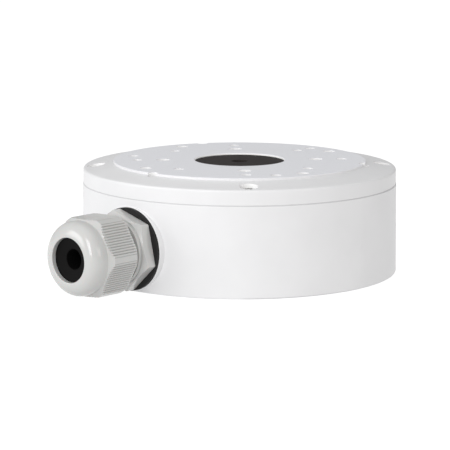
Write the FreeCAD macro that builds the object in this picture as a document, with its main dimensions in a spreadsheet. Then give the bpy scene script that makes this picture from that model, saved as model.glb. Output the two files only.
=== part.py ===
import FreeCAD, Part
import math
import os
import re

import Sketcher

# Camera junction box: a round cast box with a screwed cover that carries a camera,
# and a nylon cable gland on its side.
# Frame: origin at the centre of the wall face, Z out of the wall towards the camera seat,
# the gland towards minus Y. Millimetres and degrees.

SIZES = {
    # Cast housing
    "housing_radius": 68.5,
    "foot_flare": 0.4,
    "seam_height": 38.5,
    "housing_wall": 3.8,
    "floor_thickness": 2.4,
    "underside_relief": 0.8,
    "foot_rim_width": 6.0,
    "foot_round": 0.5,
    "seam_round": 0.15,
    "floor_round": 1.5,
    # Cable hole in the wall side and the thicker plate around it
    "rear_hole_radius": 15.0,
    "rear_recess_width": 4.0,
    "rear_recess_depth": 2.0,
    "rear_plate_width": 7.0,
    "rear_plate_thickness": 2.4,
    # Screw holes to the wall
    "wall_hole_inset": 18.5,
    "wall_hole_radius": 2.6,
    "wall_boss_wall": 2.9,
    "wall_boss_height": 1.0,
    "wall_pad_wall": 4.4,
    # Cover
    "cover_inset": 0.2,
    "cover_edge_height": 6.3,
    "cover_rim_round": 0.9,
    "cover_cone_rise": 2.1,
    "cover_rim_thickness": 2.9,
    "cover_rim_width": 13.3,
    "seat_step": 0.9,
    "seat_edge_bevel": 0.2,
    "plate_thickness": 3.5,
    "plate_shoulder": 2.0,
    "centre_hole_radius": 19.6,
    "centre_ledge_width": 2.5,
    "centre_ledge_depth": 1.9,
    "centre_chamfer": 0.35,
    "rib_count": 8,
    "rib_first_angle": 22.5,
    "rib_width": 2.0,
    "rib_depth": 1.6,
    "embed": 0.5,
    # Camera hole patterns in the seat. The two inner ones state the radius of their hole circle,
    # the others how far it lies inside the seat's edge
    "pattern_a_inset": 10.3,
    "pattern_a_hole": 2.25,
    "pattern_a_angle": 45,
    "pattern_a_count": 4,
    "pattern_b_circle": 33.4,
    "pattern_b_hole": 3.0,
    "pattern_b_angle": 45,
    "pattern_b_count": 4,
    "pattern_c_circle": 38.9,
    "pattern_c_hole": 2.15,
    "pattern_c_angle": 0,
    "pattern_c_count": 4,
    "pattern_d_inset": 7.2,
    "pattern_d_hole": 2.75,
    "pattern_d_angle": 75,
    "pattern_d_count": 4,
    "pattern_e_inset": 7.2,
    "pattern_e_hole": 2.3,
    "pattern_e_angle": 90,
    "pattern_e_count": 3,
    "pattern_f_inset": 0.4,
    "pattern_f_hole": 2.4,
    "pattern_f_angle": 30,
    "pattern_f_count": 3,
    "seat_hole_depth": 8.0,
    "seat_boss_wall": 1.8,
    "seat_boss_floor": 1.2,
    # Gasket between housing and cover
    "gasket_thickness": 0.4,
    "seam_groove_depth": 0.4,
    "gasket_hole_clearance": 0.4,
    # Cover screws, captive in the cover
    "screw_count": 4,
    "screw_inset": 5.8,
    "screw_first_angle": 45,
    "screw_thread_radius": 2.0,
    "screw_core_radius": 1.62,
    "screw_length": 14.0,
    "screw_head_radius": 3.5,
    "screw_head_height": 2.8,
    "screw_head_round": 0.35,
    "screw_tip_chamfer": 0.6,
    "screw_seat_depth": 3.0,
    "screw_head_clearance": 0.4,
    "screw_hole_clearance": 0.25,
    "thread_clearance": 0.05,
    "screw_hole_margin": 1.3,
    "pillar_wall": 3.0,
    "screw_boss_wall": 3.2,
    "screw_boss_cap": 0.6,
    "socket_inner_radius": 1.42,
    "socket_lobe_radius": 0.45,
    "socket_lobe_circle": 1.48,
    "socket_lobe_count": 6,
    "socket_depth": 1.8,
    "socket_pin_radius": 0.55,
    "retainer_radius": 3.4,
    "retainer_thickness": 1.0,
    "retainer_play": 0.1,
    "retainer_bore_play": 0.04,
    # Rubber plug in the cover
    "plug_set_down": 0.7,
    "plug_clearance": 0.15,
    "plug_neck_clearance": 0.05,
    "plug_lip_width": 1.5,
    "plug_lip_height": 1.5,
    "plug_lip_taper": 0.5,
    "plug_web": 2.2,
    "plug_wall": 1.9,
    "plug_dish_radius": 3.65,
    "plug_dish_taper": 0.35,
    "plug_dish_depth": 1.4,
    "plug_nub_radius": 0.8,
    "plug_nub_height": 0.5,
    "plug_teat_radius": 5.5,
    "plug_teat_height": 1.0,
    # Rubber cable entry in the wall side
    "entry_set_back": 0.4,
    "entry_clearance": 0.4,
    "entry_neck_clearance": 0.05,
    "entry_lip_width": 2.2,
    "entry_lip_height": 1.4,
    "entry_lip_taper": 0.6,
    "entry_wall": 1.9,
    "entry_web": 1.2,
    "entry_web_rise": 0.2,
    "entry_teat_radius": 4.0,
    "entry_teat_taper": 1.0,
    "entry_teat_height": 1.0,
    # Cable gland: its axis lies along minus Y, and lengths are counted out from the box axis
    "gland_height": 17.9,
    "gland_boss_radius": 17.85,
    "gland_boss_proud": 0.3,
    "gland_boss_bevel": 0.25,
    "gland_pad_margin": 0.8,
    "gland_washer_radius": 17.45,
    "gland_washer_thickness": 1.5,
    "entry_thread_radius": 12.5,
    "entry_core_radius": 11.7,
    "entry_hole_clearance": 0.2,
    "entry_spare_thread": 1.6,
    "gland_hex_flats": 30.0,
    "gland_hex_length": 5.4,
    "gland_hex_turn": 43.0,
    "gland_hex_corner_trim": 0.15,
    "gland_hex_chamfer": 1.5,
    "gland_hex_face_margin": 0.5,
    "gland_collar_radius": 14.0,
    "gland_collar_length": 1.6,
    "gland_thread_radius": 12.9,
    "gland_core_radius": 12.1,
    "gland_thread_length": 14.0,
    "gland_bore_radius": 8.0,
    "claw_radius": 11.4,
    "claw_length": 7.0,
    "claw_tip_chamfer": 0.6,
    "claw_slot_count": 12,
    "claw_slot_width": 0.9,
    "locknut_flats": 29.0,
    "locknut_thickness": 5.5,
    "locknut_chamfer": 0.9,
    "locknut_chamfer_width": 1.9,
    "seal_radius": 9.1,
    "seal_clearance": 0.3,
    "seal_bore_radius": 4.3,
    "seal_length": 15.0,
    "seal_heel_gap": 0.5,
    "seal_dish": 1.6,
    "seal_set_back": 1.8,
    "dome_nut_gap": 3.6,
    "dome_nut_flats": 32.0,
    "dome_nut_turn": 1.5,
    "dome_nut_hex_length": 13.7,
    "dome_nut_corner_trim": 1.0,
    "dome_nut_rear_chamfer": 0.8,
    "dome_base_radius": 15.53,
    "dome_length": 7.6,
    "dome_face_width": 0.5,
    "mouth_round": 0.3,
    "mouth_clearance": 0.2,
    "mouth_depth": 2.4,
    "throat_radius": 10.3,
    "throat_length": 6.2,
    "rib_groove_count": 14,
    "rib_groove_pitch": 1.16,
    "rib_groove_width": 0.8,
    "rib_groove_depth": 0.4,
    "rib_groove_stop": 0.35,
    # Earth terminal on the floor
    "earth_inset": 22.5,
    "earth_angle": 118.0,
    "earth_boss_radius": 5.0,
    "earth_boss_height": 5.0,
    "earth_hole_floor": 0.9,
    "earth_screw_length": 5.6,
    "earth_head_radius": 3.9,
    "earth_head_height": 2.6,
    "earth_head_round": 1.3,
    "earth_slot_length": 2.3,
    "earth_slot_width": 0.9,
    "earth_slot_depth": 1.5,
    "earth_slot_arms": 4,
    "lock_washer_radius": 4.2,
    "lock_washer_thickness": 0.6,
    "lock_washer_tooth_count": 8,
    "lock_washer_tooth_gap": 0.7,
    "lock_washer_tooth_depth": 1.1,
}

# Places worked out from the sizes
FOOT_RADIUS = "(housing_radius + foot_flare)"
INNER_RADIUS = "(housing_radius - housing_wall)"
FLOOR_TOP = "(underside_relief + floor_thickness)"
REAR_TOP = "(rear_recess_depth + rear_plate_thickness)"
REAR_RECESS_RADIUS = "(rear_hole_radius + rear_recess_width)"
COVER_RADIUS = "(housing_radius - cover_inset)"
COVER_BASE = "(seam_height + gasket_thickness)"
RIM_TOP = f"({COVER_BASE} + cover_edge_height)"
CONE_TOP = f"({RIM_TOP} + cover_cone_rise)"
SEAT_TOP = f"({CONE_TOP} + seat_step)"
SEAT_RADIUS = "(housing_radius - cover_rim_width)"
PLATE_UNDER = f"({SEAT_TOP} - plate_thickness)"
CENTRE_LEDGE = f"({SEAT_TOP} - centre_ledge_depth)"
CENTRE_NECK_RADIUS = "(centre_hole_radius - centre_ledge_width)"
PATTERN_CIRCLES = {
    "pattern_a": f"({SEAT_RADIUS} - pattern_a_inset)",
    "pattern_b": "pattern_b_circle",
    "pattern_c": "pattern_c_circle",
    "pattern_d": f"({SEAT_RADIUS} - pattern_d_inset)",
    "pattern_e": f"({SEAT_RADIUS} - pattern_e_inset)",
    "pattern_f": f"({SEAT_RADIUS} - pattern_f_inset)",
}
WALL_CIRCLE = "(housing_radius - wall_hole_inset)"
SCREW_CIRCLE = "(housing_radius - screw_inset)"
SCREW_SEAT = f"({RIM_TOP} - screw_seat_depth)"
RETAINER_POCKET = "(retainer_thickness + 2 * retainer_play)"
PILLAR_RADIUS = "(screw_thread_radius + thread_clearance + pillar_wall)"
TAPPED_RADIUS = "(screw_thread_radius + thread_clearance)"
LOCKNUT_RADIUS = "(locknut_flats / 2 / cos(30))"
GLAND_PAD_FACE = f"sqrt({INNER_RADIUS}^2 - ({LOCKNUT_RADIUS} + gland_pad_margin)^2)"
GLAND_FACE = f"({FOOT_RADIUS} + gland_boss_proud)"
HEX_REAR = f"({GLAND_FACE} + gland_washer_thickness)"
HEX_FRONT = f"({HEX_REAR} + gland_hex_length)"
HEX_RADIUS = "(gland_hex_flats / 2 / cos(30) - gland_hex_corner_trim)"
COLLAR_FRONT = f"({HEX_FRONT} + gland_collar_length)"
CLAW_ROOT = f"({COLLAR_FRONT} + gland_thread_length)"
CLAW_TIP = f"({CLAW_ROOT} + claw_length)"
CLAW_BORE = "(seal_radius + seal_clearance)"
ENTRY_END = f"({GLAND_PAD_FACE} - locknut_thickness - entry_spare_thread)"
NUT_REAR = f"({COLLAR_FRONT} + dome_nut_gap)"
NUT_SHOULDER = f"({NUT_REAR} + dome_nut_hex_length)"
NUT_RADIUS = "(dome_nut_flats / 2 / cos(30) - dome_nut_corner_trim)"
DOME_BASE = f"({NUT_SHOULDER} + {NUT_RADIUS} - dome_base_radius)"
NUT_FACE = f"({DOME_BASE} + dome_length)"
NUT_BORE = "(gland_thread_radius + thread_clearance)"
MOUTH_RADIUS = "(seal_radius + mouth_clearance)"
DOME_ROUND = f"(dome_base_radius - {MOUTH_RADIUS} - dome_face_width)"
THROAT = f"({NUT_FACE} - mouth_depth)"
SEAL_FACE = f"({NUT_FACE} - seal_set_back)"
SEAL_HEEL = f"({SEAL_FACE} - seal_length)"
EARTH_CIRCLE = "(housing_radius - earth_inset)"
EARTH_TOP = f"({FLOOR_TOP} + earth_boss_height)"
EARTH_SEAT = f"({EARTH_TOP} + lock_washer_thickness)"

# How far a cutting shape runs past the solid that it cuts
OVERRUN = 2.0
HEX_SIDES = 6

doc = FreeCAD.newDocument("camera_junction_box")
sheet = doc.addObject("Spreadsheet::Sheet", "Sizes")
for row, (alias, number) in enumerate(SIZES.items(), start=1):
    sheet.set(f"A{row}", alias)
    sheet.set(f"B{row}", str(number))
    sheet.setAlias(f"B{row}", alias)
doc.recompute()

ALIAS = re.compile(r"\b(" + "|".join(SIZES) + r")\b")
pieces = []


def value(formula):
    """The number that a formula of sheet sizes gives."""
    return float(sheet.evalExpression(str(formula)))


def bind(thing, prop, formula):
    """Tie a property to a formula of sheet sizes."""
    thing.setExpression(prop, ALIAS.sub(r"Sizes.\1", str(formula)))


def origin_feature(body, role):
    """The plane or axis of a body's own origin."""
    return next(item for item in body.Origin.OriginFeatures if item.Role == role)


def new_body(name):
    """A body whose label is the name of the piece."""
    body = doc.addObject("PartDesign::Body", name)
    body.Label = name
    pieces.append(body)
    return body


def new_sketch(body, name, plane, lift="0", turn="0"):
    """A sketch on one of the body's origin planes, lifted along and turned about its normal."""
    sketch = body.newObject("Sketcher::SketchObject", f"{body.Name}_{name}_sketch")
    sketch.AttachmentSupport = [(origin_feature(body, plane), "")]
    sketch.MapMode = "FlatFace"
    spin = FreeCAD.Rotation(FreeCAD.Vector(0, 0, 1), value(turn))
    sketch.AttachmentOffset = FreeCAD.Placement(FreeCAD.Vector(0, 0, value(lift)), spin)
    bind(sketch, "AttachmentOffset.Base.z", lift)
    if turn != "0":
        bind(sketch, "AttachmentOffset.Rotation.Angle", turn)
    return sketch


def place_point(sketch, geometry, position, across, along):
    """Hold a point of a sketch at two formulas; None leaves that direction free."""
    for kind, formula, axis in (("DistanceX", across, -2), ("DistanceY", along, -1)):
        if formula is None:
            continue
        if formula == "0":
            sketch.addConstraint(Sketcher.Constraint("PointOnObject", geometry, position, axis))
            continue
        rule = Sketcher.Constraint(kind, -1, 1, geometry, position, value(formula))
        number = sketch.addConstraint(rule)
        bind(sketch, f"Constraints[{number}]", formula)


def corner_points(corners, bends):
    """Start positions of the corners; one that ends a bend gets its free height from the arc."""
    points = []
    for index, (across, along) in enumerate(corners):
        if along is None:
            centre = FreeCAD.Vector(value(bends[index - 1][0]), value(bends[index - 1][1]), 0)
            reach = value(across) - centre.x
            rise = math.sqrt(points[-1].distanceToPoint(centre) ** 2 - reach ** 2)
            points.append(FreeCAD.Vector(value(across), centre.y + rise, 0))
        else:
            points.append(FreeCAD.Vector(value(across), value(along), 0))
    return points


def draw_outline(sketch, corners, bends=None):
    """A closed outline of straight sides; bends gives the centre of each side that is an arc."""
    bends = bends or {}
    first = sketch.GeometryCount
    points = corner_points(corners, bends)
    for index, start in enumerate(points):
        end = points[(index + 1) % len(points)]
        if index in bends:
            centre = FreeCAD.Vector(value(bends[index][0]), value(bends[index][1]), 0)
            circle = Part.Circle(centre, FreeCAD.Vector(0, 0, 1), start.distanceToPoint(centre))
            angles = [math.atan2(point.y - centre.y, point.x - centre.x) for point in (start, end)]
            sketch.addGeometry(Part.ArcOfCircle(circle, *angles), False)
        else:
            sketch.addGeometry(Part.LineSegment(start, end), False)
    for index in range(len(points)):
        after = first + (index + 1) % len(points)
        sketch.addConstraint(Sketcher.Constraint("Coincident", first + index, 2, after, 1))
    for index, (across, along) in enumerate(corners):
        place_point(sketch, first + index, 1, across, along)
    for index, (across, along) in bends.items():
        place_point(sketch, first + index, 3, across, along)


def draw_circle(sketch, across, along, radius):
    """A circle held by its centre and radius."""
    centre = FreeCAD.Vector(value(across), value(along), 0)
    circle = Part.Circle(centre, FreeCAD.Vector(0, 0, 1), value(radius))
    geometry = sketch.addGeometry(circle, False)
    place_point(sketch, geometry, 3, across, along)
    number = sketch.addConstraint(Sketcher.Constraint("Radius", geometry, value(radius)))
    bind(sketch, f"Constraints[{number}]", radius)


def hexagon(flats):
    """Corners of a hexagon whose corners lie at 0, 60, 120 degrees and so on."""
    corner = f"({flats} / 2 / cos(30))"
    corners = []
    for step in range(HEX_SIDES):
        angle = step * 360 / HEX_SIDES
        across = f"{corner} * cos({angle})"
        along = f"{corner} * sin({angle})" if angle % 180 else "0"
        corners.append((across, along))
    return corners


def add_feature(body, kind, name, sketch):
    """A sketch-based feature of a body."""
    feature = body.newObject(f"PartDesign::{kind}", f"{body.Name}_{name}")
    feature.Profile = sketch
    sketch.Visibility = False
    return feature


def revolve(body, name, corners, bends=None, cut=False):
    """Turn a radius and height outline about the body's Z axis, to add or to cut."""
    sketch = new_sketch(body, name, "XZ_Plane")
    draw_outline(sketch, corners, bends)
    feature = add_feature(body, "Groove" if cut else "Revolution", name, sketch)
    feature.ReferenceAxis = (sketch, ["V_Axis"])
    feature.Angle = 360
    return feature


def extrude(body, name, sketch, length, cut=False, reverse=False):
    """Pad a sketch along its normal, or pocket it against its normal."""
    feature = add_feature(body, "Pocket" if cut else "Pad", name, sketch)
    bind(feature, "Length", length)
    feature.Reversed = reverse
    return feature


def post(body, name, across, along, radius, foot, length):
    """A round post along Z from the height foot."""
    sketch = new_sketch(body, name, "XY_Plane", foot)
    draw_circle(sketch, across, along, radius)
    return extrude(body, name, sketch, length)


def drill(body, name, across, along, radius, mouth, depth, upward=False):
    """A round hole along Z from the height mouth, downward unless upward is set."""
    sketch = new_sketch(body, name, "XY_Plane", mouth)
    draw_circle(sketch, across, along, radius)
    return extrude(body, name, sketch, depth, cut=True, reverse=upward)


def repeat(body, name, features, count):
    """Repeat features evenly about the body's Z axis."""
    pattern = body.newObject("PartDesign::PolarPattern", f"{body.Name}_{name}")
    pattern.Originals = features
    pattern.Axis = (origin_feature(body, "Z_Axis"), [""])
    pattern.Angle = 360
    bind(pattern, "Occurrences", count)
    body.Tip = pattern
    return pattern


def ring_edges(shape, rings):
    """Names of the round edges about Z that have one of the given radii and heights."""
    found = []
    for number, edge in enumerate(shape.Edges, start=1):
        curve = edge.Curve
        if not isinstance(curve, Part.Circle):
            continue
        for radius, height in rings:
            level = abs(curve.Center.z - value(height)) < 0.001
            if level and abs(curve.Radius - value(radius)) < 0.001:
                found.append(f"Edge{number}")
    return found


def soften(body, name, base, edges, size, chamfer=False):
    """Round or chamfer the named edges of the last feature."""
    kind = "Chamfer" if chamfer else "Fillet"
    feature = body.newObject(f"PartDesign::{kind}", f"{body.Name}_{name}")
    feature.Base = (base, edges)
    bind(feature, "Size" if chamfer else "Radius", size)
    return feature


def soften_rings(body, name, base, rings, size, chamfer=False):
    """Round or chamfer the ring edges with the given radii and heights."""
    doc.recompute()
    return soften(body, name, base, ring_edges(base.Shape, rings), size, chamfer)


def on_circle(circle, angle):
    """Both coordinates of a point on a circle about Z."""
    return f"{circle} * cos({angle})", f"{circle} * sin({angle})"


def set_place(piece, across="0", along="0", height="0", axis=(0, 0, 1), turn=0.0):
    """Place a finished piece: its position is tied to the sheet."""
    rotation = FreeCAD.Rotation(FreeCAD.Vector(*axis), turn)
    position = FreeCAD.Vector(value(across), value(along), value(height))
    piece.Placement = FreeCAD.Placement(position, rotation)
    for letter, formula in (("x", across), ("y", along), ("z", height)):
        bind(piece, f"Placement.Base.{letter}", formula)


def lay_along_gland(piece, turn="0", distance="0"):
    """Lay a piece that was made about Z on the gland axis, turned about that axis."""
    set_place(piece, along=f"-{distance}" if distance != "0" else "0", height="gland_height")
    outward = FreeCAD.Rotation(FreeCAD.Vector(1, 0, 0), 90)
    spin = FreeCAD.Rotation(FreeCAD.Vector(0, 0, 1), value(turn))
    piece.Placement.Rotation = outward.multiply(spin)


def flat_ring(name, outer, inner, thickness):
    """A plain ring: one cylinder cut from another."""
    disc = doc.addObject("Part::Cylinder", f"{name}_disc")
    core = doc.addObject("Part::Cylinder", f"{name}_core")
    bind(disc, "Radius", outer)
    bind(core, "Radius", inner)
    bind(disc, "Height", thickness)
    bind(core, "Height", thickness)
    ring = doc.addObject("Part::Cut", name)
    ring.Base = disc
    ring.Tool = core
    ring.Label = name
    pieces.append(ring)
    return ring


def make_base_housing():
    """The cast box: shell, gland boss, screw pillars, wall bosses and earth boss."""
    body = new_body("base_housing")
    foot_inner = f"({FOOT_RADIUS} - foot_rim_width)"
    plate_edge = "(rear_hole_radius + rear_plate_width)"
    shell = revolve(body, "shell", [
        ("rear_hole_radius", "rear_recess_depth"),
        (REAR_RECESS_RADIUS, "rear_recess_depth"),
        (REAR_RECESS_RADIUS, "underside_relief"),
        (foot_inner, "underside_relief"),
        (foot_inner, "0"),
        (FOOT_RADIUS, "0"),
        ("housing_radius", "seam_height"),
        (INNER_RADIUS, "seam_height"),
        (INNER_RADIUS, FLOOR_TOP),
        (plate_edge, FLOOR_TOP),
        (plate_edge, REAR_TOP),
        ("rear_hole_radius", REAR_TOP),
    ])
    foot = soften_rings(body, "foot_round", shell, [(FOOT_RADIUS, "0")], "foot_round")
    lip = soften_rings(body, "seam_round", foot, [("housing_radius", "seam_height")], "seam_round")
    soften_rings(body, "floor_round", lip, [(INNER_RADIUS, FLOOR_TOP)], "floor_round")

    boss = new_sketch(body, "gland_boss", "YZ_Plane")
    bind(boss, "AttachmentOffset.Base.y", "gland_height")
    draw_outline(boss, [
        (f"-{GLAND_PAD_FACE}", "0"),
        (f"-{GLAND_PAD_FACE}", "gland_boss_radius"),
        (f"-{GLAND_FACE} + gland_boss_bevel", "gland_boss_radius"),
        (f"-{GLAND_FACE}", "gland_boss_radius - gland_boss_bevel"),
        (f"-{GLAND_FACE}", "0"),
    ])
    stand = add_feature(body, "Revolution", "gland_boss", boss)
    stand.ReferenceAxis = (boss, ["H_Axis"])
    stand.Angle = 360
    drill(body, "wall_face_trim", "0", "0", f"{GLAND_FACE} + {OVERRUN}", "0", "gland_boss_radius")
    drill(body, "seam_trim", "0", "0", f"{GLAND_FACE} + {OVERRUN}", "seam_height",
          "gland_boss_radius", upward=True)
    hole = new_sketch(body, "gland_hole", "XZ_Plane", f"{GLAND_PAD_FACE} - {OVERRUN}")
    draw_circle(hole, "0", "gland_height", "entry_thread_radius + entry_hole_clearance")
    depth = f"{GLAND_FACE} - {GLAND_PAD_FACE} + 2 * {OVERRUN}"
    extrude(body, "gland_hole", hole, depth, cut=True, reverse=True)

    screw_spot = on_circle(SCREW_CIRCLE, "screw_first_angle")
    pillar = post(body, "pillar", *screw_spot, PILLAR_RADIUS,
                  "underside_relief", "seam_height - underside_relief")
    tapped_depth = f"seam_height - {SCREW_SEAT} + screw_length + screw_hole_margin"
    tapped = drill(body, "tapped_hole", *screw_spot, TAPPED_RADIUS, "seam_height", tapped_depth)
    repeat(body, "pillars", [pillar, tapped], "screw_count")

    wall_spot = on_circle(WALL_CIRCLE, "screw_first_angle")
    pad = post(body, "wall_pad", *wall_spot, "wall_hole_radius + wall_pad_wall",
               "0", "underside_relief + floor_thickness / 2")
    wall_boss = post(body, "wall_boss", *wall_spot, "wall_hole_radius + wall_boss_wall",
                     "underside_relief", "floor_thickness + wall_boss_height")
    wall_hole = drill(body, "wall_hole", *wall_spot, "wall_hole_radius",
                      "0", f"{FLOOR_TOP} + wall_boss_height + {OVERRUN}", upward=True)
    repeat(body, "wall_holes", [pad, wall_boss, wall_hole], "screw_count")

    earth_spot = on_circle(EARTH_CIRCLE, "earth_angle")
    post(body, "earth_boss", *earth_spot, "earth_boss_radius",
         "underside_relief", "floor_thickness + earth_boss_height")
    drill(body, "earth_hole", *earth_spot, TAPPED_RADIUS, EARTH_TOP,
          f"{EARTH_TOP} - underside_relief - earth_hole_floor")


def make_cover():
    """The cast cover: coned rim, raised seat, screw recesses, blind camera holes and ribs."""
    body = new_body("cover")
    plate = revolve(body, "plate", [
        (CENTRE_NECK_RADIUS, PLATE_UNDER),
        (f"{SEAT_RADIUS} - plate_shoulder", PLATE_UNDER),
        (INNER_RADIUS, f"{RIM_TOP} - cover_rim_thickness"),
        (INNER_RADIUS, COVER_BASE),
        (COVER_RADIUS, COVER_BASE),
        (COVER_RADIUS, RIM_TOP),
        (SEAT_RADIUS, CONE_TOP),
        (SEAT_RADIUS, f"{SEAT_TOP} - seat_edge_bevel"),
        (f"{SEAT_RADIUS} - seat_edge_bevel", SEAT_TOP),
        ("centre_hole_radius + centre_chamfer", SEAT_TOP),
        ("centre_hole_radius", f"{SEAT_TOP} - centre_chamfer"),
        ("centre_hole_radius", CENTRE_LEDGE),
        (CENTRE_NECK_RADIUS, CENTRE_LEDGE),
    ])
    rim = soften_rings(body, "rim_round", plate, [(COVER_RADIUS, RIM_TOP)], "cover_rim_round")
    soften_rings(body, "seam_round", rim, [(COVER_RADIUS, COVER_BASE)], "seam_round")

    screw_spot = on_circle(SCREW_CIRCLE, "screw_first_angle")
    boss = post(body, "screw_boss", *screw_spot, "screw_thread_radius + screw_boss_wall",
                COVER_BASE, "cover_edge_height - screw_boss_cap")
    repeat(body, "screw_bosses", [boss], "screw_count")
    rib = new_sketch(body, "rib", "XY_Plane", f"{PLATE_UNDER} - rib_depth", "rib_first_angle")
    draw_outline(rib, [
        ("centre_hole_radius + plate_shoulder", "-rib_width / 2"),
        (f"{INNER_RADIUS} + embed", "-rib_width / 2"),
        (f"{INNER_RADIUS} + embed", "rib_width / 2"),
        ("centre_hole_radius + plate_shoulder", "rib_width / 2"),
    ])
    first_rib = extrude(body, "rib", rib, "rib_depth + embed")
    repeat(body, "ribs", [first_rib], "rib_count")
    boss_foot = f"{SEAT_TOP} - seat_hole_depth - seat_boss_floor"
    boss_length = f"{PLATE_UNDER} - ({boss_foot}) + embed"
    for name, circle in PATTERN_CIRCLES.items():
        boss = post(body, f"{name}_boss", *on_circle(circle, f"{name}_angle"),
                    f"{name}_hole + seat_boss_wall", boss_foot, boss_length)
        repeat(body, f"{name}_bosses", [boss], f"{name}_count")

    recess = drill(body, "screw_recess", *screw_spot, "screw_head_radius + screw_head_clearance",
                   SEAT_TOP, f"{SEAT_TOP} - {SCREW_SEAT}")
    passage = drill(body, "screw_hole", *screw_spot, "screw_thread_radius + screw_hole_clearance",
                    SEAT_TOP, f"{SEAT_TOP} - {COVER_BASE} + {OVERRUN}")
    pocket = drill(body, "retainer_pocket", *screw_spot, "retainer_radius + screw_head_clearance",
                   COVER_BASE, RETAINER_POCKET, upward=True)
    repeat(body, "screw_places", [recess, passage, pocket], "screw_count")
    for name, circle in PATTERN_CIRCLES.items():
        hole = drill(body, f"{name}_drill", *on_circle(circle, f"{name}_angle"),
                     f"{name}_hole", SEAT_TOP, "seat_hole_depth")
        repeat(body, f"{name}_holes", [hole], f"{name}_count")


def make_cover_gasket():
    """The flat ring seal with an ear at each cover screw."""
    body = new_body("cover_gasket")
    outer = "housing_radius - seam_groove_depth"
    revolve(body, "ring", [
        (INNER_RADIUS, "seam_height"),
        (outer, "seam_height"),
        (outer, COVER_BASE),
        (INNER_RADIUS, COVER_BASE),
    ])
    spot = on_circle(SCREW_CIRCLE, "screw_first_angle")
    ear = post(body, "ear", *spot, PILLAR_RADIUS, "seam_height", "gasket_thickness")
    hole = drill(body, "screw_hole", *spot, "screw_thread_radius + gasket_hole_clearance",
                 COVER_BASE, "gasket_thickness")
    repeat(body, "ears", [ear, hole], "screw_count")


def make_cover_screw(number):
    """A cheese-head security screw with a six-lobed socket round a centre pin."""
    body = new_body(f"cover_screw_{number}")
    plain = f"({SCREW_SEAT} - {COVER_BASE} - {RETAINER_POCKET})"
    shank = revolve(body, "shank", [
        ("0", "-screw_length"),
        ("screw_core_radius - screw_tip_chamfer", "-screw_length"),
        ("screw_core_radius", "-screw_length + screw_tip_chamfer"),
        ("screw_core_radius", f"-{plain}"),
        ("screw_thread_radius", f"-{plain}"),
        ("screw_thread_radius", "0"),
        ("screw_head_radius", "0"),
        ("screw_head_radius", "screw_head_height"),
        ("0", "screw_head_height"),
    ])
    rim = [("screw_head_radius", "screw_head_height")]
    soften_rings(body, "head_round", shank, rim, "screw_head_round")
    socket = new_sketch(body, "socket", "XY_Plane", "screw_head_height")
    draw_circle(socket, "0", "0", "socket_inner_radius")
    draw_circle(socket, "0", "0", "socket_pin_radius")
    extrude(body, "socket", socket, "socket_depth", cut=True)
    lobe = drill(body, "lobe", "socket_lobe_circle", "0", "socket_lobe_radius",
                 "screw_head_height", "socket_depth")
    repeat(body, "lobes", [lobe], "socket_lobe_count")
    angle = f"(screw_first_angle + 360 / screw_count * {number - 1})"
    across, along = on_circle(SCREW_CIRCLE, angle)
    set_place(body, across, along, SCREW_SEAT, turn=value(angle))


def make_screw_retainer(number):
    """The push-on ring under the cover that keeps a cover screw captive."""
    ring = flat_ring(f"screw_retainer_{number}", "retainer_radius",
                     "screw_core_radius + retainer_bore_play", "retainer_thickness")
    angle = f"(screw_first_angle + 360 / screw_count * {number - 1})"
    across, along = on_circle(SCREW_CIRCLE, angle)
    set_place(ring, across, along, f"{COVER_BASE} + retainer_play")


def make_centre_grommet():
    """The rubber plug in the cover: a ledge flange, a snap lip below and a dished centre."""
    body = new_body("centre_grommet")
    top = f"({SEAT_TOP} - plug_set_down)"
    neck = f"({CENTRE_NECK_RADIUS} - plug_neck_clearance)"
    lip = f"({neck} + plug_lip_width)"
    foot = f"({PLATE_UNDER} - plug_lip_height)"
    dish = f"({top} - plug_dish_depth)"
    web = f"({top} - plug_web)"
    revolve(body, "plug", [
        ("0", f"{web} - plug_teat_height"),
        ("plug_teat_radius - plug_teat_height", f"{web} - plug_teat_height"),
        ("plug_teat_radius", web),
        (f"{neck} - plug_wall", web),
        (f"{neck} - plug_wall", foot),
        (f"{lip} - plug_lip_taper", foot),
        (lip, PLATE_UNDER),
        (neck, PLATE_UNDER),
        (neck, CENTRE_LEDGE),
        ("centre_hole_radius - plug_clearance", CENTRE_LEDGE),
        ("centre_hole_radius - plug_clearance", top),
        ("plug_dish_radius", top),
        ("plug_dish_radius - plug_dish_taper", dish),
        ("plug_nub_radius", dish),
        ("plug_nub_radius", f"{dish} + plug_nub_height"),
        ("0", f"{dish} + plug_nub_height"),
    ])


def make_rear_grommet():
    """The rubber membrane entry in the wall side, set back behind the wall face."""
    body = new_body("rear_grommet")
    neck = "(rear_hole_radius - entry_neck_clearance)"
    inner = f"({neck} - entry_wall)"
    lip = f"({neck} + entry_lip_width)"
    crown = f"({REAR_TOP} + entry_lip_height)"
    web = "(rear_recess_depth + entry_web_rise)"
    web_top = f"({web} + entry_web)"
    flange = f"({REAR_RECESS_RADIUS} - entry_clearance)"
    revolve(body, "entry", [
        ("0", web),
        (inner, web),
        (inner, "entry_set_back"),
        (flange, "entry_set_back"),
        (flange, "rear_recess_depth"),
        (neck, "rear_recess_depth"),
        (neck, REAR_TOP),
        (lip, REAR_TOP),
        (f"{lip} - entry_lip_taper", crown),
        (inner, crown),
        (inner, web_top),
        ("entry_teat_radius", web_top),
        ("entry_teat_radius - entry_teat_taper", f"{web_top} + entry_teat_height"),
        ("0", f"{web_top} + entry_teat_height"),
    ])


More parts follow.
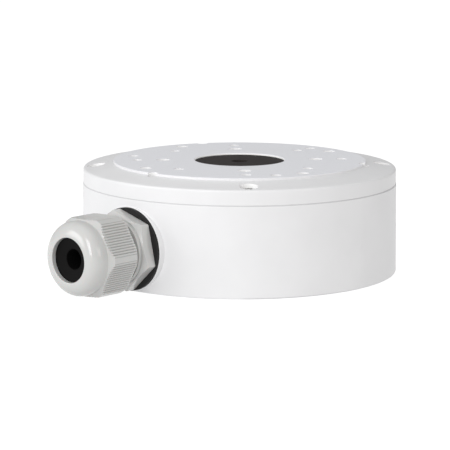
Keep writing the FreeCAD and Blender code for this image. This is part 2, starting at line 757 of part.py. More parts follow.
def make_gland_body():
    """The gland's hex with its inner spigot, outer spigot and slotted claw."""
    body = new_body("gland_body")
    half_flats = "(gland_hex_flats / 2)"
    hex_sketch = new_sketch(body, "hex", "XY_Plane", HEX_REAR)
    draw_outline(hex_sketch, hexagon("gland_hex_flats"))
    extrude(body, "hex", hex_sketch, "gland_hex_length")
    outside = f"{HEX_RADIUS} + gland_hex_corner_trim + {OVERRUN}"
    revolve(body, "hex_corners", [
        (HEX_RADIUS, HEX_REAR),
        (outside, HEX_REAR),
        (outside, HEX_FRONT),
        (f"{half_flats} - gland_hex_face_margin", HEX_FRONT),
        (HEX_RADIUS, f"{HEX_FRONT} - gland_hex_chamfer"),
    ], cut=True)
    heel = f"({SEAL_HEEL} - seal_heel_gap)"
    revolve(body, "spigots", [
        ("0", ENTRY_END),
        ("entry_core_radius", ENTRY_END),
        ("entry_core_radius", HEX_REAR),
        ("gland_collar_radius", HEX_REAR),
        ("gland_collar_radius", COLLAR_FRONT),
        ("gland_core_radius", COLLAR_FRONT),
        ("gland_core_radius", CLAW_ROOT),
        ("claw_radius", CLAW_ROOT),
        ("claw_radius", f"{CLAW_TIP} - claw_tip_chamfer"),
        ("claw_radius - claw_tip_chamfer", CLAW_TIP),
        ("0", CLAW_TIP),
    ])
    drill(body, "bore", "0", "0", "gland_bore_radius", f"{ENTRY_END} - {OVERRUN}",
          f"{CLAW_TIP} - {ENTRY_END} + 2 * {OVERRUN}", upward=True)
    drill(body, "seal_bore", "0", "0", CLAW_BORE, heel,
          f"{CLAW_TIP} - {heel} + {OVERRUN}", upward=True)
    slot = new_sketch(body, "claw_slot", "XY_Plane", CLAW_ROOT)
    draw_outline(slot, [
        (f"{CLAW_BORE} / 2", "-claw_slot_width / 2"),
        (f"gland_core_radius + {OVERRUN}", "-claw_slot_width / 2"),
        (f"gland_core_radius + {OVERRUN}", "claw_slot_width / 2"),
        (f"{CLAW_BORE} / 2", "claw_slot_width / 2"),
    ])
    first_slot = extrude(body, "claw_slot", slot, f"claw_length + {OVERRUN}", cut=True, reverse=True)
    repeat(body, "claw_slots", [first_slot], "claw_slot_count")
    lay_along_gland(body, "gland_hex_turn")


def make_gland_washer():
    """The flat rubber washer between the gland's hex and the boss."""
    washer = flat_ring("gland_washer", "gland_washer_radius",
                       "entry_thread_radius + entry_hole_clearance", "gland_washer_thickness")
    lay_along_gland(washer, distance=GLAND_FACE)


def make_gland_locknut():
    """The hex nut that holds the gland from inside the box."""
    body = new_body("gland_locknut")
    rear = f"({GLAND_PAD_FACE} - locknut_thickness)"
    half_flats = "(locknut_flats / 2)"
    sketch = new_sketch(body, "hex", "XY_Plane", rear)
    draw_outline(sketch, hexagon("locknut_flats"))
    draw_circle(sketch, "0", "0", "entry_thread_radius + thread_clearance")
    extrude(body, "hex", sketch, "locknut_thickness")
    revolve(body, "chamfer", [
        (half_flats, rear),
        (f"{half_flats} + locknut_chamfer_width", f"{rear} + locknut_chamfer"),
        (f"{half_flats} + locknut_chamfer_width", rear),
    ], cut=True)
    lay_along_gland(body)


def make_gland_seal():
    """The rubber bush that grips the cable, dished at its outer face."""
    body = new_body("gland_seal")
    revolve(body, "bush", [
        ("seal_bore_radius", SEAL_HEEL),
        ("seal_radius", SEAL_HEEL),
        ("seal_radius", SEAL_FACE),
        ("seal_bore_radius", f"{SEAL_FACE} - seal_dish"),
    ])
    lay_along_gland(body)


def make_gland_dome_nut():
    """The domed clamping nut: ribbed flats, turned chamfer, dome, mouth and inner cone."""
    body = new_body("gland_dome_nut")
    cone_root = f"({THROAT} - throat_length)"
    round_start = f"({NUT_FACE} - {DOME_ROUND})"
    envelope = revolve(body, "envelope", [
        (NUT_BORE, NUT_REAR),
        (f"{NUT_RADIUS} - dome_nut_rear_chamfer", NUT_REAR),
        (NUT_RADIUS, f"{NUT_REAR} + dome_nut_rear_chamfer"),
        (NUT_RADIUS, NUT_SHOULDER),
        ("dome_base_radius", DOME_BASE),
        ("dome_base_radius", round_start),
        (f"dome_base_radius - {DOME_ROUND}", None),
        (MOUTH_RADIUS, NUT_FACE),
        (MOUTH_RADIUS, THROAT),
        ("throat_radius", THROAT),
        (NUT_BORE, cone_root),
    ], bends={5: (f"dome_base_radius - {DOME_ROUND}", round_start)})
    soften_rings(body, "mouth_round", envelope, [(MOUTH_RADIUS, NUT_FACE)], "mouth_round")

    flats = new_sketch(body, "flats", "XY_Plane", NUT_REAR)
    draw_circle(flats, "0", "0", f"{NUT_RADIUS} + {OVERRUN}")
    draw_outline(flats, hexagon("dome_nut_flats"))
    extrude(body, "flats", flats, f"{NUT_FACE} - {NUT_REAR}", cut=True, reverse=True)

    flat = "(dome_nut_flats / 2)"
    first = "(rib_groove_pitch * (rib_groove_count - 1) / 2)"
    groove = new_sketch(body, "groove", "XY_Plane", NUT_REAR)
    draw_outline(groove, [
        (f"-{first}", f"{flat} - rib_groove_depth"),
        (f"-{first} + rib_groove_width / 2", flat),
        (f"-{first} + rib_groove_width / 2", f"{flat} + {OVERRUN}"),
        (f"-{first} - rib_groove_width / 2", f"{flat} + {OVERRUN}"),
        (f"-{first} - rib_groove_width / 2", flat),
    ])
    run = f"{DOME_BASE} - {NUT_REAR} - rib_groove_stop"
    cut = extrude(body, "groove", groove, run, cut=True, reverse=True)
    grooves = body.newObject("PartDesign::MultiTransform", "gland_dome_nut_grooves")
    row_of = doc.addObject("PartDesign::LinearPattern", "gland_dome_nut_groove_row")
    row_of.Direction = (origin_feature(body, "X_Axis"), [""])
    bind(row_of, "Length", "rib_groove_pitch * (rib_groove_count - 1)")
    bind(row_of, "Occurrences", "rib_groove_count")
    around = doc.addObject("PartDesign::PolarPattern", "gland_dome_nut_groove_ring")
    around.Axis = (origin_feature(body, "Z_Axis"), [""])
    around.Angle = 360
    around.Occurrences = HEX_SIDES
    grooves.Originals = [cut]
    grooves.Transformations = [row_of, around]
    body.Tip = grooves
    lay_along_gland(body, "dome_nut_turn")


def make_earth_screw():
    """The pan-head bonding screw on the floor."""
    body = new_body("earth_screw")
    shank = revolve(body, "shank", [
        ("0", "-earth_screw_length"),
        ("screw_core_radius - screw_tip_chamfer", "-earth_screw_length"),
        ("screw_core_radius", "-earth_screw_length + screw_tip_chamfer"),
        ("screw_core_radius", "0"),
        ("earth_head_radius", "0"),
        ("earth_head_radius", "earth_head_height"),
        ("0", "earth_head_height"),
    ])
    soften_rings(body, "head_round", shank,
                 [("earth_head_radius", "earth_head_height")], "earth_head_round")
    arm = new_sketch(body, "slot", "XY_Plane", "earth_head_height")
    draw_outline(arm, [
        ("0", "-earth_slot_width / 2"),
        ("earth_slot_length", "-earth_slot_width / 2"),
        ("earth_slot_length", "earth_slot_width / 2"),
        ("0", "earth_slot_width / 2"),
    ])
    slot = extrude(body, "slot", arm, "earth_slot_depth", cut=True)
    repeat(body, "slots", [slot], "earth_slot_arms")
    across, along = on_circle(EARTH_CIRCLE, "earth_angle")
    set_place(body, across, along, EARTH_SEAT)


def make_earth_lock_washer():
    """The toothed lock washer under the earth screw's head."""
    body = new_body("earth_lock_washer")
    inner = "(screw_thread_radius + screw_hole_clearance)"
    sketch = new_sketch(body, "ring", "XY_Plane")
    draw_circle(sketch, "0", "0", "lock_washer_radius")
    draw_circle(sketch, "0", "0", inner)
    extrude(body, "ring", sketch, "lock_washer_thickness")
    gap = new_sketch(body, "tooth_gap", "XY_Plane")
    draw_outline(gap, [
        (f"{inner} - lock_washer_tooth_gap", "-lock_washer_tooth_gap / 2"),
        (f"{inner} + lock_washer_tooth_depth", "-lock_washer_tooth_gap / 2"),
        (f"{inner} + lock_washer_tooth_depth", "lock_washer_tooth_gap / 2"),
        (f"{inner} - lock_washer_tooth_gap", "lock_washer_tooth_gap / 2"),
    ])
    first_gap = extrude(body, "tooth_gap", gap, "lock_washer_thickness", cut=True, reverse=True)
    repeat(body, "tooth_gaps", [first_gap], "lock_washer_tooth_count")
    across, along = on_circle(EARTH_CIRCLE, "earth_angle")
    set_place(body, across, along, EARTH_TOP)


def check_document():
    """Stop if an object failed or a finished piece is empty or broken."""
    for item in doc.Objects:
        if "Invalid" in item.State or "Error" in item.State:
            raise RuntimeError(f"{item.Name} failed: {item.State}")
    for piece in pieces:
        if piece.Shape.isNull() or not piece.Shape.isValid() or not piece.Shape.Solids:
            raise RuntimeError(f"{piece.Label} has no valid solid")


make_base_housing()
make_cover()
make_cover_gasket()
for screw_number in range(1, int(value("screw_count")) + 1):
    make_cover_screw(screw_number)
    make_screw_retainer(screw_number)
make_centre_grommet()
make_rear_grommet()
make_gland_body()
make_gland_washer()
make_gland_locknut()
make_gland_seal()
make_gland_dome_nut()
make_earth_screw()
make_earth_lock_washer()
doc.recompute()
check_document()

os.makedirs("parts", exist_ok=True)
for piece in pieces:
    piece.Shape.exportStep(f"parts/{piece.Label}.step")
    box = piece.Shape.BoundBox
    print(piece.Label, len(piece.Shape.Solids), "solids", round(piece.Shape.Volume, 1), "mm3",
          f"x {box.XMin:.2f} {box.XMax:.2f} y {box.YMin:.2f} {box.YMax:.2f} "
          f"z {box.ZMin:.2f} {box.ZMax:.2f}")
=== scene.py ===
"""Looks of the camera junction box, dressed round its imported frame."""

import logging
import math
from dataclasses import dataclass, fields
from enum import Enum

import bmesh
import bpy
from mathutils import Matrix, Vector


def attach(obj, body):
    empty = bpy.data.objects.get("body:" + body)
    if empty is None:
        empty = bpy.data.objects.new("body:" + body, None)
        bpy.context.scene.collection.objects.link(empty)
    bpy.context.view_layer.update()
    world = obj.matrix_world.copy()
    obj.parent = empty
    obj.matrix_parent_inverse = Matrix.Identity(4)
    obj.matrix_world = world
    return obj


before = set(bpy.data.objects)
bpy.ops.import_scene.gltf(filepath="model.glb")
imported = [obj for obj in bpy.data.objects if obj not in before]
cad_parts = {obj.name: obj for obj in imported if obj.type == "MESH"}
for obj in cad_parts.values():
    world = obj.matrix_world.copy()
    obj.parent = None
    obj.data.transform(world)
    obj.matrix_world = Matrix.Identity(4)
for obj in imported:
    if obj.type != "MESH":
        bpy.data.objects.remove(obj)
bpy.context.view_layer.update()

log = logging.getLogger("camera_junction_box")

MM = 0.001

# Height of the cable gland's axis over the wall face, in millimetres
GLAND_HEIGHT = 17.9

# Thread of the cover screws and the earth screw, in millimetres
SCREW_CORE = 1.62
SCREW_CREST = 2.0
SCREW_PITCH = 0.7
SCREW_TURN_STEPS = 24


class Body(Enum):
    """The bodies of the frame that carry an added piece."""

    HOUSING = "housing"


class Grain(Enum):
    """How the fine surface of a finish is made."""

    ORANGE_PEEL = "orange_peel"
    MOULDED = "moulded"
    RUBBERY = "rubbery"
    TURNED = "turned"


@dataclass(frozen=True)
class Finish:
    """One surface finish of the box.

    Colours are linear. Grain sizes, bump heights and the scatter depth are in metres. The
    colour drifts over blobs that are many grains wide, between two values of their noise.
    """

    name: str
    slot: str
    colour: tuple[float, float, float]
    roughness: float
    grain: Grain
    grain_size: float
    bump_height: float
    colour_drift: float = 0.02
    roughness_drift: float = 0.05
    metallic: float = 0.0
    coat: float = 0.0
    coat_roughness: float = 0.2
    subsurface: float = 0.0
    scatter_depth: float = 1.5 * MM
    specular: float = 0.5
    blob_grains: float = 30.0
    blob_detail: float = 3.0
    grain_detail: float = 2.0
    drift_start: float = 0.3
    drift_end: float = 0.7
    turned_squash: float = 0.05

    @classmethod
    def like(cls, base: "Finish", name: str) -> "Finish":
        """Make a finish of this kind that takes over another's values.

        Args:
            base: The finish whose values are taken over.
            name: The name of the new finish.

        Returns:
            The new finish.
        """
        values = {field.name: getattr(base, field.name) for field in fields(base)}
        values["name"] = name
        return cls(**values)

    def material(self) -> bpy.types.Material:
        """Build the node material of this finish.

        Returns:
            The new material.
        """
        made = bpy.data.materials.new(self.name)
        made.use_nodes = True
        tree = made.node_tree
        shader = next(node for node in tree.nodes if node.type == "BSDF_PRINCIPLED")
        shader.inputs["Metallic"].default_value = self.metallic
        shader.inputs["Coat Weight"].default_value = self.coat
        shader.inputs["Coat Roughness"].default_value = self.coat_roughness
        shader.inputs["Specular IOR Level"].default_value = self.specular
        if self.subsurface:
            shader.inputs["Subsurface Weight"].default_value = self.subsurface
            shader.inputs["Subsurface Scale"].default_value = self.scatter_depth
        where = tree.nodes.new("ShaderNodeTexCoord")
        broad = self._noise(tree, where, self.grain_size * self.blob_grains, self.blob_detail)
        fine = self._noise(tree, where, self.grain_size, self.grain_detail)
        self._drift_colour(tree, broad, shader)
        self._finish_colour(tree, where, shader)
        self._drift_roughness(tree, fine, shader)
        self._raise_grain(tree, where, fine, shader)
        return made

    def _noise(self, tree: bpy.types.NodeTree, where: bpy.types.Node, size: float,
               detail: float) -> bpy.types.Node:
        """Add a noise whose blobs are about the given size.

        Args:
            tree: The material's node tree.
            where: The texture coordinate node.
            size: Size of a blob in metres.
            detail: Octaves of finer noise.

        Returns:
            The noise node.
        """
        noise = tree.nodes.new("ShaderNodeTexNoise")
        noise.inputs["Scale"].default_value = 1.0 / size
        noise.inputs["Detail"].default_value = detail
        tree.links.new(where.outputs["Object"], noise.inputs["Vector"])
        return noise

    def _math(self, tree: bpy.types.NodeTree, operation: str,
              first: bpy.types.NodeSocket | float, second: bpy.types.NodeSocket | float,
              ) -> bpy.types.NodeSocket:
        """Add a two-value math node.

        Args:
            tree: The material's node tree.
            operation: The node's operation.
            first: A socket or a number.
            second: A socket or a number.

        Returns:
            The result socket.
        """
        node = tree.nodes.new("ShaderNodeMath")
        node.operation = operation
        for index, given in enumerate((first, second)):
            if isinstance(given, bpy.types.NodeSocket):
                tree.links.new(given, node.inputs[index])
            else:
                node.inputs[index].default_value = given
        return node.outputs[0]

    def _mix(self, tree: bpy.types.NodeTree, share: bpy.types.NodeSocket,
             below: bpy.types.NodeSocket, colour: tuple[float, float, float],
             ) -> bpy.types.NodeSocket:
        """Lay a colour over another where the share is one.

        Args:
            tree: The material's node tree.
            share: How much of the new colour shows.
            below: The colour so far.
            colour: The new linear colour.

        Returns:
            The socket of the mixed colour.
        """
        mix = tree.nodes.new("ShaderNodeMix")
        mix.data_type = "RGBA"
        factor = next(socket for socket in mix.inputs if socket.identifier == "Factor_Float")
        first = next(socket for socket in mix.inputs if socket.identifier == "A_Color")
        second = next(socket for socket in mix.inputs if socket.identifier == "B_Color")
        tree.links.new(share, factor)
        tree.links.new(below, first)
        second.default_value = (*colour, 1)
        return next(socket for socket in mix.outputs if socket.identifier == "Result_Color")

    def _drift_colour(self, tree: bpy.types.NodeTree, noise: bpy.types.Node,
                      shader: bpy.types.Node) -> None:
        """Let the base colour drift a little over the surface.

        Args:
            tree: The material's node tree.
            noise: The noise that drives the drift.
            shader: The shader whose base colour is set.
        """
        ramp = tree.nodes.new("ShaderNodeValToRGB")
        low, high = ramp.color_ramp.elements
        low.position, high.position = self.drift_start, self.drift_end
        low.color = (*[part * (1 - self.colour_drift) for part in self.colour], 1)
        high.color = (*[min(1.0, part * (1 + self.colour_drift)) for part in self.colour], 1)
        tree.links.new(noise.outputs["Fac"], ramp.inputs["Fac"])
        tree.links.new(ramp.outputs["Color"], shader.inputs["Base Color"])

    def _finish_colour(self, tree: bpy.types.NodeTree, where: bpy.types.Node,
                       shader: bpy.types.Node) -> None:
        """Change the base colour once more; a plain finish leaves it as it is.

        Args:
            tree: The material's node tree.
            where: The texture coordinate node.
            shader: The shader whose base colour is set.
        """

    def _drift_roughness(self, tree: bpy.types.NodeTree, noise: bpy.types.Node,
                         shader: bpy.types.Node) -> None:
        """Let the roughness drift with the fine grain.

        Args:
            tree: The material's node tree.
            noise: The noise that drives the drift.
            shader: The shader whose roughness is set.
        """
        spread = tree.nodes.new("ShaderNodeMapRange")
        spread.inputs["To Min"].default_value = self.roughness - self.roughness_drift
        spread.inputs["To Max"].default_value = self.roughness + self.roughness_drift
        tree.links.new(noise.outputs["Fac"], spread.inputs["Value"])
        tree.links.new(spread.outputs["Result"], shader.inputs["Roughness"])

    def _raise_grain(self, tree: bpy.types.NodeTree, where: bpy.types.Node,
                     fine: bpy.types.Node, shader: bpy.types.Node) -> None:
        """Give the surface its fine relief.

        Args:
            tree: The material's node tree.
            where: The texture coordinate node.
            fine: The fine noise, used by every grain but the turned one.
            shader: The shader whose normal is set.
        """
        bump = tree.nodes.new("ShaderNodeBump")
        bump.inputs["Strength"].default_value = 1.0
        bump.inputs["Distance"].default_value = self.bump_height
        source = fine.outputs["Fac"]
        if self.grain is Grain.TURNED:
            rings = tree.nodes.new("ShaderNodeTexNoise")
            rings.inputs["Scale"].default_value = 1.0 / self.grain_size
            squash = tree.nodes.new("ShaderNodeMapping")
            squash.inputs["Scale"].default_value = (1.0, 1.0, self.turned_squash)
            tree.links.new(where.outputs["Object"], squash.inputs["Vector"])
            tree.links.new(squash.outputs["Vector"], rings.inputs["Vector"])
            source = rings.outputs["Fac"]
        tree.links.new(source, bump.inputs["Height"])
        tree.links.new(bump.outputs["Normal"], shader.inputs["Normal"])


@dataclass(frozen=True)
class DrilledFinish(Finish):
    """A painted finish with a cooler seat, and painted light that brightens the walls of its
    holes.

    The painted top is a flat seat with a cone that falls away round it. What lies deeper than
    a little under that top, inside the rim, counts as the wall of a hole, apart from the step
    at the seat's edge.
    """

    seat_radius: float = 55.2 * MM
    seat_height: float = 48.2 * MM
    rim_radius: float = 68.3 * MM
    rim_height: float = 45.2 * MM
    cone_height: float = 47.3 * MM
    wall_radius: float = 66.9 * MM
    paint_depth: float = 0.12 * MM
    step_margin: float = 0.3 * MM
    seat_colour: tuple[float, float, float] = (0.85, 0.857, 0.895)
    # Painted light: a brighter colour that stands in for light falling on the hole walls.
    bare_colour: tuple[float, float, float] = (0.97, 0.97, 0.97)

    def _finish_colour(self, tree: bpy.types.NodeTree, where: bpy.types.Node,
                       shader: bpy.types.Node) -> None:
        """Cool the seat's colour and paint light into the holes with a brighter colour.

        Args:
            tree: The material's node tree.
            where: The texture coordinate node.
            shader: The shader whose base colour is set.
        """
        split = tree.nodes.new("ShaderNodeSeparateXYZ")
        tree.links.new(where.outputs["Object"], split.inputs[0])
        across = self._math(tree, "POWER", split.outputs["X"], 2.0)
        along = self._math(tree, "POWER", split.outputs["Y"], 2.0)
        radius = self._math(tree, "SQRT", self._math(tree, "ADD", across, along), 0.0)
        cone = tree.nodes.new("ShaderNodeMapRange")
        cone.inputs["From Min"].default_value = self.seat_radius
        cone.inputs["From Max"].default_value = self.rim_radius
        cone.inputs["To Min"].default_value = self.cone_height
        cone.inputs["To Max"].default_value = self.rim_height
        tree.links.new(radius, cone.inputs["Value"])
        on_seat = self._math(tree, "LESS_THAN", radius, self.seat_radius)
        step = self._math(tree, "MULTIPLY", on_seat, self.seat_height - self.cone_height)
        top = self._math(tree, "ADD", cone.outputs["Result"], step)
        depth = self._math(tree, "SUBTRACT", top, split.outputs["Z"])
        deep = self._math(tree, "GREATER_THAN", depth, self.paint_depth)
        inside = self._math(tree, "LESS_THAN", radius, self.wall_radius)
        from_step = self._math(tree, "ABSOLUTE",
                               self._math(tree, "SUBTRACT", radius, self.seat_radius), 0.0)
        off_step = self._math(tree, "GREATER_THAN", from_step, self.step_margin)
        drilled = self._math(tree, "MULTIPLY", off_step,
                             self._math(tree, "MULTIPLY", deep, inside))
        seat = self._math(tree, "GREATER_THAN", split.outputs["Z"],
                          self.seat_height - self.paint_depth)
        painted = shader.inputs["Base Color"].links[0].from_socket
        cooled = self._mix(tree, seat, painted, self.seat_colour)
        # Painted light: the hole walls take the brighter colour.
        holes_lit = self._mix(tree, drilled, cooled, self.bare_colour)
        tree.links.new(holes_lit, shader.inputs["Base Color"])


@dataclass(frozen=True)
class RibbedFinish(Finish):
    """The nut's nylon, with painted shade down in the grooves between its ribs.

    The nut is a hexagon about an axis along Y, its corners trimmed round. What lies under the
    flats, but inside the trimmed corners, is a groove. The first flat's angle is in degrees
    from X towards Z. The ribs run between two places along Y.
    """

    axis_height: float = GLAND_HEIGHT * MM
    flat_distance: float = 16.0 * MM
    flat_pairs: int = 3
    first_flat: float = 31.5
    corner_radius: float = 17.4 * MM
    rear: float = -82.1 * MM
    front: float = -94.9 * MM
    shallow: float = 0.05 * MM
    deep: float = 0.3 * MM
    # Painted shade: the darker colour laid down in the grooves.
    groove_colour: tuple[float, float, float] = (0.42, 0.42, 0.41)

    def _finish_colour(self, tree: bpy.types.NodeTree, where: bpy.types.Node,
                       shader: bpy.types.Node) -> None:
        """Paint shade into the grooves with a darker colour.

        Args:
            tree: The material's node tree.
            where: The texture coordinate node.
            shader: The shader whose base colour is set.
        """
        split = tree.nodes.new("ShaderNodeSeparateXYZ")
        tree.links.new(where.outputs["Object"], split.inputs[0])
        across = split.outputs["X"]
        up = self._math(tree, "SUBTRACT", split.outputs["Z"], self.axis_height)
        distances = []
        for pair in range(self.flat_pairs):
            angle = math.radians(self.first_flat + 180 / self.flat_pairs * pair)
            first = self._math(tree, "MULTIPLY", across, math.cos(angle))
            second = self._math(tree, "MULTIPLY", up, math.sin(angle))
            distances.append(self._math(tree, "ABSOLUTE",
                                        self._math(tree, "ADD", first, second), 0.0))
        reach = distances[0]
        for distance in distances[1:]:
            reach = self._math(tree, "MAXIMUM", reach, distance)
        depth = tree.nodes.new("ShaderNodeMapRange")
        depth.inputs["From Min"].default_value = self.flat_distance - self.shallow
        depth.inputs["From Max"].default_value = self.flat_distance - self.deep
        tree.links.new(reach, depth.inputs["Value"])
        squares = self._math(tree, "ADD", self._math(tree, "POWER", across, 2.0),
                             self._math(tree, "MULTIPLY", up, up))
        inside = self._math(tree, "LESS_THAN", squares, self.corner_radius ** 2)
        behind = self._math(tree, "LESS_THAN", split.outputs["Y"], self.rear)
        before = self._math(tree, "GREATER_THAN", split.outputs["Y"], self.front)
        ribbed = self._math(tree, "MULTIPLY", inside, self._math(tree, "MULTIPLY", behind, before))
        # Painted shade: the deeper a point lies under the flats, the more of the darker colour it
        # takes.
        groove = self._math(tree, "MULTIPLY", depth.outputs["Result"], ribbed)
        painted = shader.inputs["Base Color"].links[0].from_socket
        groove_shaded = self._mix(tree, groove, painted, self.groove_colour)
        tree.links.new(groove_shaded, shader.inputs["Base Color"])


WHITE_PAINT = Finish(
    name="white_powder_coat", slot="white_cast", colour=(0.80, 0.80, 0.81), roughness=0.42,
    grain=Grain.ORANGE_PEEL, grain_size=0.7 * MM, bump_height=0.012 * MM, coat=0.15,
    coat_roughness=0.3)
# The cover's finish carries painted light in its holes.
COVER_PAINT = DrilledFinish.like(WHITE_PAINT, "white_powder_coat_drilled")
GREY_NYLON = Finish(
    name="grey_moulded_nylon", slot="grey_nylon", colour=(0.57, 0.57, 0.56), roughness=0.17,
    grain=Grain.MOULDED, grain_size=0.35 * MM, bump_height=0.002 * MM, roughness_drift=0.02,
    subsurface=0.05, specular=0.8)
# The nut's finish carries painted shade in its grooves.
RIBBED_NYLON = RibbedFinish.like(GREY_NYLON, "grey_ribbed_nylon")
BLACK_RUBBER = Finish(
    name="black_rubber", slot="black_rubber", colour=(0.009, 0.0088, 0.0088), roughness=0.65,
    grain=Grain.RUBBERY, grain_size=0.25 * MM, bump_height=0.010 * MM, colour_drift=0.1,
    specular=0.3)
SEAL_RUBBER = Finish(
    name="seal_rubber", slot="black_rubber", colour=(0.004, 0.0038, 0.0038), roughness=0.7,
    grain=Grain.RUBBERY, grain_size=0.25 * MM, bump_height=0.010 * MM, colour_drift=0.1,
    specular=0.1)
PLUG_RUBBER = Finish(
    name="plug_rubber", slot="black_rubber", colour=(0.024, 0.020, 0.0192), roughness=0.75,
    grain=Grain.RUBBERY, grain_size=0.25 * MM, bump_height=0.010 * MM, colour_drift=0.15,
    specular=0.2)
PALE_SILICONE = Finish(
    name="pale_silicone", slot="pale_gasket", colour=(0.62, 0.62, 0.63), roughness=0.55,
    grain=Grain.RUBBERY, grain_size=0.3 * MM, bump_height=0.006 * MM)
BRIGHT_STEEL = Finish(
    name="bright_stainless", slot="bright_screw", colour=(0.74, 0.74, 0.73), roughness=0.24,
    grain=Grain.TURNED, grain_size=0.12 * MM, bump_height=0.003 * MM, metallic=1.0)
CLEAR_NYLON = Finish(
    name="natural_nylon", slot="clear_nylon", colour=(0.70, 0.70, 0.66), roughness=0.35,
    grain=Grain.MOULDED, grain_size=0.3 * MM, bump_height=0.003 * MM, subsurface=0.2)


class Paintbox:
    """Makes each finish once and dresses objects with it."""

    def __init__(self) -> None:
        """Start with no material made."""
        self._made: dict[str, bpy.types.Material] = {}

    def dress(self, piece: bpy.types.Object, finish: Finish) -> None:
        """Give a piece one finish all over.

        Args:
            piece: The mesh object.
            finish: The finish to use.
        """
        if finish.name not in self._made:
            self._made[finish.name] = finish.material()
        piece.data.materials.clear()
        piece.data.materials.append(self._made[finish.name])

    def dress_node(self, node: str, finish: Finish) -> None:
        """Give a node of the frame its finish.

        Args:
            node: The node's name.
            finish: The finish to use, whose slot is the node's own.
        """
        self.dress(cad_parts[node], finish)
        log.info("frame piece %s dressed as %s", node, finish.name)


@dataclass(frozen=True)
class Thread:
    """One screw thread: a ridge wound about an axis, cut back to the core at both ends.

    Radii, pitch, start and end are in millimetres, the last two along the axis.
    """

    name: str
    core: float
    crest: float
    pitch: float
    start: float
    end: float
    turn_steps: int
    sink: float = 0.05
    root_share: float = 7 / 16
    crest_share: float = 1 / 16

    def _profile(self) -> list[tuple[float, float]]:
        """Radius and height of the ridge's four corners, in millimetres."""
        root, tip = self.root_share * self.pitch, self.crest_share * self.pitch
        return [(self.core - self.sink, -root), (self.crest, -tip),
                (self.crest, tip), (self.core - self.sink, root)]

    def _cut_back(self, ridge: bmesh.types.BMesh) -> None:
        """Lower the ridge towards both ends, as a chamfered blank leaves it.

        Args:
            ridge: The wound ridge, in metres about Z.
        """
        low = self.core - self.sink
        for vert in ridge.verts:
            radius = vert.co.xy.length / MM
            height = vert.co.z / MM
            reach = min(height - self.start, self.end - height) + self.root_share * self.pitch
            room = low + max(0.0, reach)
            wanted = min(radius, room)
            vert.co.xy *= wanted / radius

    def build(self, place: Matrix, body: Body, finish: Finish, paints: Paintbox) -> None:
        """Wind the ridge, set it in place and hand it to its body.

        Args:
            place: Where the thread's axis lies in the frame.
            body: The body that it rides on.
            finish: Its finish.
            paints: Where the finish is made.
        """
        ridge = bmesh.new()
        corners = [ridge.verts.new((radius * MM, 0, (self.start + height) * MM))
                   for radius, height in self._profile()]
        rim = [ridge.edges.new((corners[i], corners[(i + 1) % len(corners)]))
               for i in range(len(corners))]
        turns = (self.end - self.start) / self.pitch
        steps = round(turns * self.turn_steps)
        rise = (self.end - self.start) / steps * MM
        wound = bmesh.ops.spin(ridge, geom=corners + rim, cent=(0, 0, 0), axis=(0, 0, 1),
                               dvec=(0, 0, rise), angle=turns * math.tau, steps=steps)
        last = [item for item in wound["geom_last"] if isinstance(item, bmesh.types.BMVert)]
        ridge.faces.new(corners)
        bmesh.ops.contextual_create(ridge, geom=last)
        self._cut_back(ridge)
        bmesh.ops.recalc_face_normals(ridge, faces=ridge.faces)
        ridge.transform(place)
        mesh = bpy.data.meshes.new(self.name)
        ridge.to_mesh(mesh)
        ridge.free()
        piece = bpy.data.objects.new(self.name, mesh)
        bpy.context.scene.collection.objects.link(piece)
        paints.dress(piece, finish)
        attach(piece, body.value)
        log.info("built %s with %d faces on %s", piece.name, len(mesh.polygons), body.value)


def stand_at(across: float, along: float, height: float) -> Matrix:
    """The place of an axis that points along Z, from millimetres in the frame.

    Args:
        across: Position along X.
        along: Position along Y.
        height: Position along Z.

    Returns:
        The matrix of that place.
    """
    return Matrix.Translation((across * MM, along * MM, height * MM))


@dataclass
class Housing:
    """The cast box with the rubber cable entry in its wall side."""

    paint: Finish = WHITE_PAINT
    entry_rubber: Finish = BLACK_RUBBER

    def build(self, paints: Paintbox) -> None:
        """Dress the box and its entry.

        Args:
            paints: Where the finishes are made.
        """
        paints.dress_node("base_housing", self.paint)
        paints.dress_node("rear_grommet", self.entry_rubber)


@dataclass
class EarthTerminal:
    """The bonding screw with its toothed washer.

    Sizes are in millimetres, the thread's ends along the screw from under its head. The angle
    is in degrees from X towards Y.
    """

    circle: float = 46.0
    angle: float = 118.0
    seat: float = 8.8
    low_end: float = -5.0
    high_end: float = -0.3

    def build(self, paints: Paintbox) -> None:
        """Dress the screw and washer and wind the screw's thread.

        Args:
            paints: Where the finishes are made.
        """
        paints.dress_node("earth_screw", BRIGHT_STEEL)
        paints.dress_node("earth_lock_washer", BRIGHT_STEEL)
        turn = math.radians(self.angle)
        place = stand_at(self.circle * math.cos(turn), self.circle * math.sin(turn), self.seat)
        thread = Thread("earth_screw_thread", SCREW_CORE, SCREW_CREST, SCREW_PITCH,
                        self.low_end, self.high_end, SCREW_TURN_STEPS)
        thread.build(place, Body.HOUSING, BRIGHT_STEEL, paints)


@dataclass
class Cover:
    """The cast cover, its gasket and the rubber plug in its centre."""

    paint: Finish = COVER_PAINT
    gasket_rubber: Finish = PALE_SILICONE
    plug_rubber: Finish = PLUG_RUBBER

    def build(self, paints: Paintbox) -> None:
        """Dress the cover, the gasket and the plug.

        Args:
            paints: Where the finishes are made.
        """
        paints.dress_node("cover", self.paint)
        paints.dress_node("cover_gasket", self.gasket_rubber)
        paints.dress_node("centre_grommet", self.plug_rubber)


